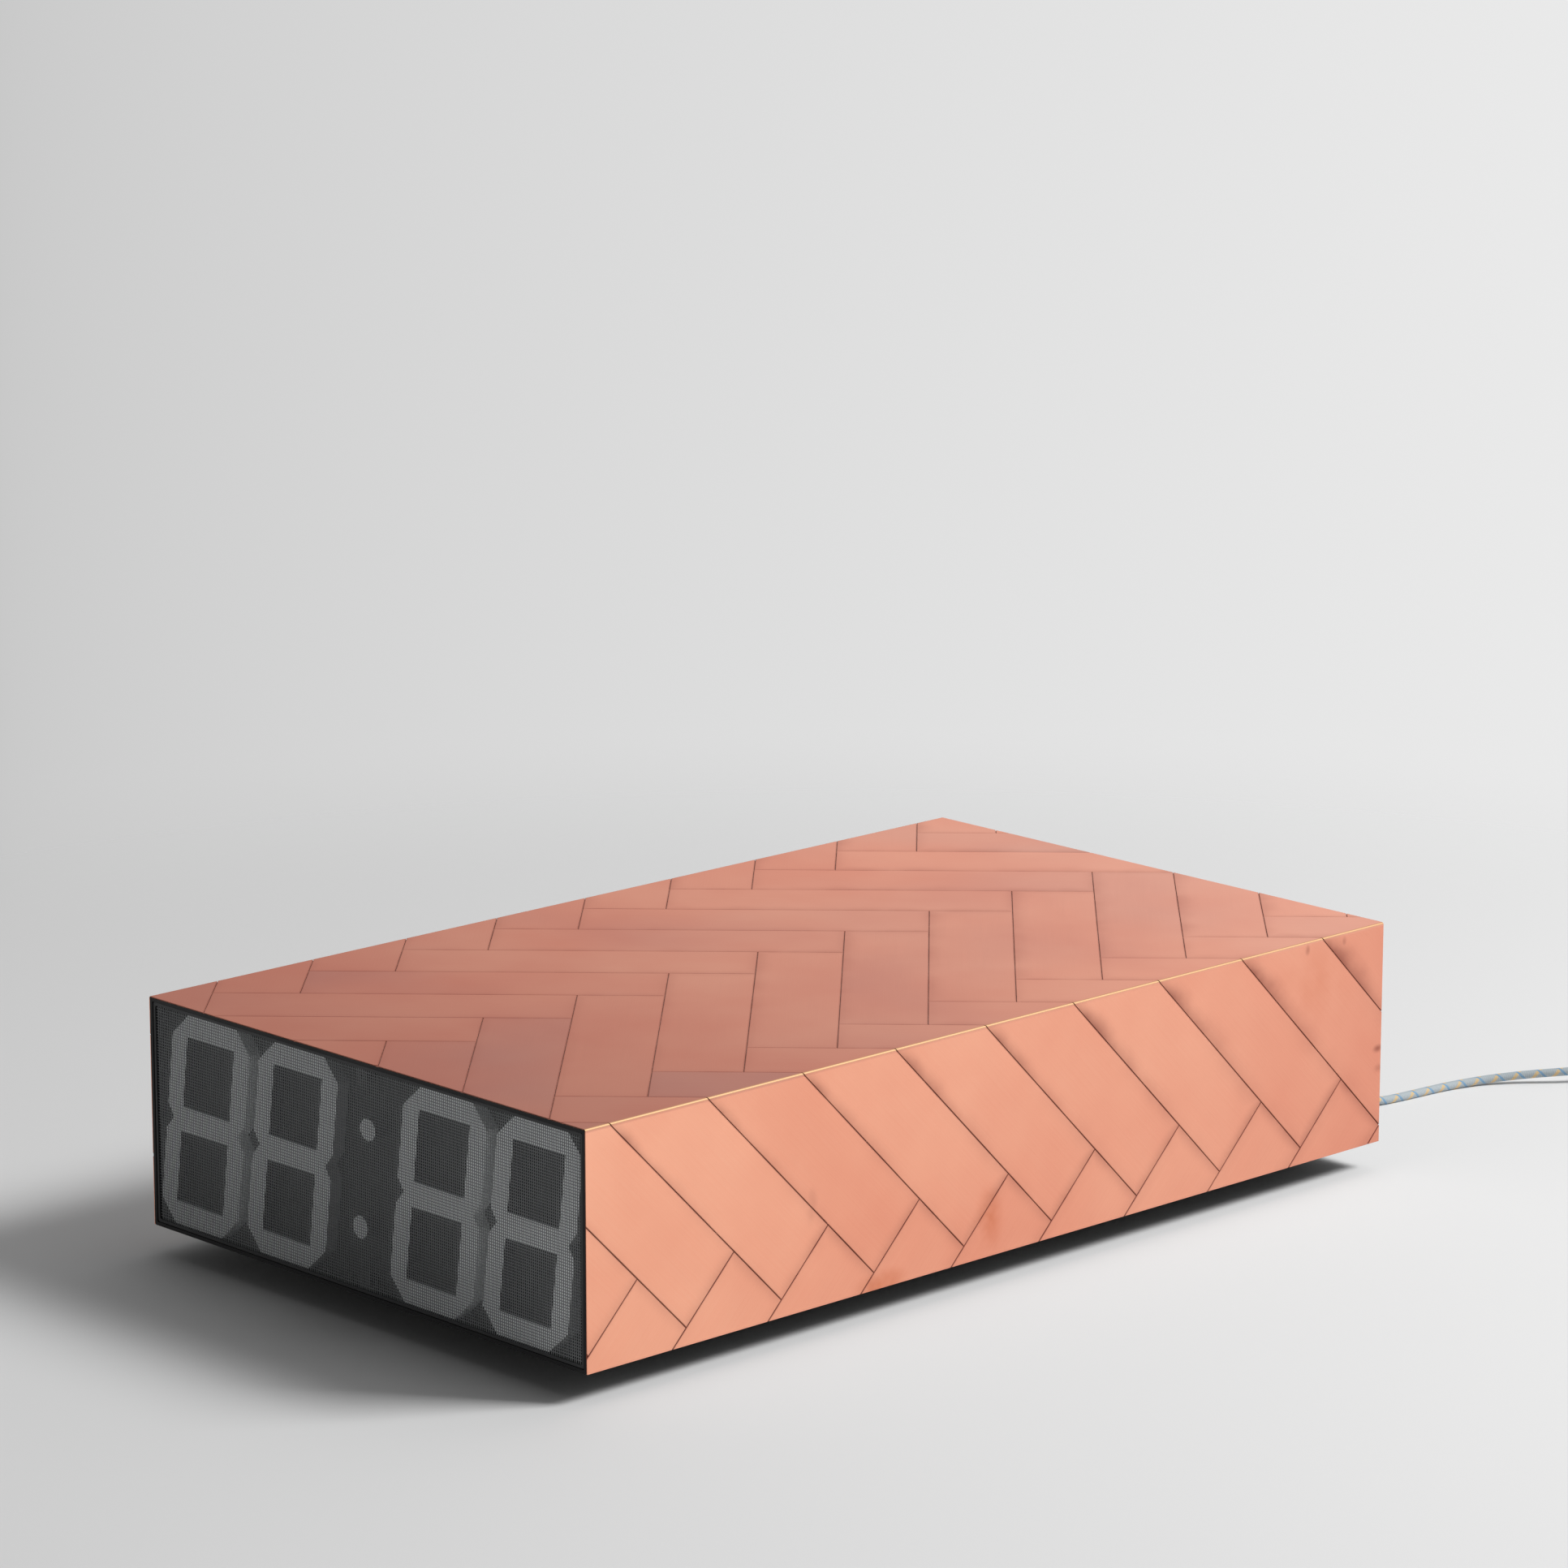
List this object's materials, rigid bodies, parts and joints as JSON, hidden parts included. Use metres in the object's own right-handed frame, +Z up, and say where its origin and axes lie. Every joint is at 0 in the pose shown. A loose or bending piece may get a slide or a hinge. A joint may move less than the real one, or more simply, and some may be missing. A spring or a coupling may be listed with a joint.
{
  "type": "floor clock",
  "caption": "Long low floor clock: a box clad in folded herringbone copper strips, with a large seven-segment display behind a fine metal mesh front.",
  "frame": {"origin": "on the floor, under the middle of the body", "axes": "+Z up, the display faces -Y, +X to the right of someone reading the display"},
  "size_m": [0.5742, 1.1385, 0.183],
  "materials": {
    "copper": "satin copper sheet, lightly brushed, bonded and folded",
    "black_sheet": "matt black powder coat on aluminium sheet",
    "grille_metal": "dark grey satin paint",
    "opal_plastic": "grey-white light diffusing plastic",
    "board_black": "black solder mask",
    "board_green": "green solder mask",
    "zinc_steel": "bright zinc plate",
    "led_white": "moulded white package",
    "black_plastic": "moulded black plastic",
    "cell_steel": "nickel plated steel",
    "ribbon_grey": "extruded grey insulation",
    "wire_pvc": "extruded wire insulation",
    "cord_textile": "woven textile braid, blue-grey with ochre tracers",
    "relief_rubber": "moulded black rubber",
    "tie_strap": "woven hook and loop strap",
    "plug_plastic": "moulded plug plastic",
    "pin_nickel": "nickel plate",
    "plinth_black": "black stained hardwood",
    "glide_felt": "pressed felt",
    "button_steel": "turned stainless steel"
  },
  "bodies": {
    "case": {"sleeve": "black_sheet", "cladding_top_left": "copper", "cladding_top_right": "copper", "cladding_left_fold": "copper", "cladding_right_fold": "copper", "cladding_left_skirt": "copper", "cladding_right_skirt": "copper", "grille_rim": "grille_metal", "grille_mesh": "grille_metal", "grille_pillars": "zinc_steel", "grille_screws": "zinc_steel", "led_board": "board_black", "digit_1": "opal_plastic", "digit_2": "opal_plastic", "digit_3": "opal_plastic", "digit_4": "opal_plastic", "colon_dots": "opal_plastic", "segment_leds": "led_white", "board_screws": "zinc_steel", "left_display_post": "black_sheet", "right_display_post": "black_sheet", "controller_board": "board_green", "controller_standoffs": "zinc_steel", "controller_screws": "zinc_steel", "controller_parts": "black_plastic", "cell_holder": "black_plastic", "backup_cell": "cell_steel", "ribbon_sockets": "black_plastic", "display_ribbon": "ribbon_grey", "power_supply": "zinc_steel", "supply_terminals": "black_plastic", "supply_screws": "zinc_steel", "supply_wires": "wire_pvc", "mains_lead": "cord_textile", "rear_panel": "black_sheet", "rear_lugs": "black_sheet", "rear_screws": "black_sheet", "button_bushes": "black_plastic", "button_nuts": "zinc_steel", "button_switches": "black_plastic", "button_wires": "wire_pvc", "strain_relief": "relief_rubber", "relief_nut": "black_plastic", "power_cord": "cord_textile", "cord_coil": "cord_textile", "cord_tail": "cord_textile", "coil_tie": "tie_strap", "plug_body": "plug_plastic", "plug_pins": "pin_nickel", "plinth_front": "plinth_black", "plinth_rear": "plinth_black", "plinth_left": "plinth_black", "plinth_right": "plinth_black", "plinth_screws": "zinc_steel", "floor_glides": "glide_felt"},
    "hour_key": {"hour_button": "button_steel"},
    "minute_key": {"minute_button": "button_steel"}
  },
  "joints": [
    {"name": "hour_press", "type": "slide", "parent": "case", "child": "hour_key", "axis": [0, -1, 0], "range_m": [0, 0.0015], "stiffness_N_per_m": 800},
    {"name": "minute_press", "type": "slide", "parent": "case", "child": "minute_key", "axis": [0, -1, 0], "range_m": [0, 0.0015], "stiffness_N_per_m": 800}
  ]
}
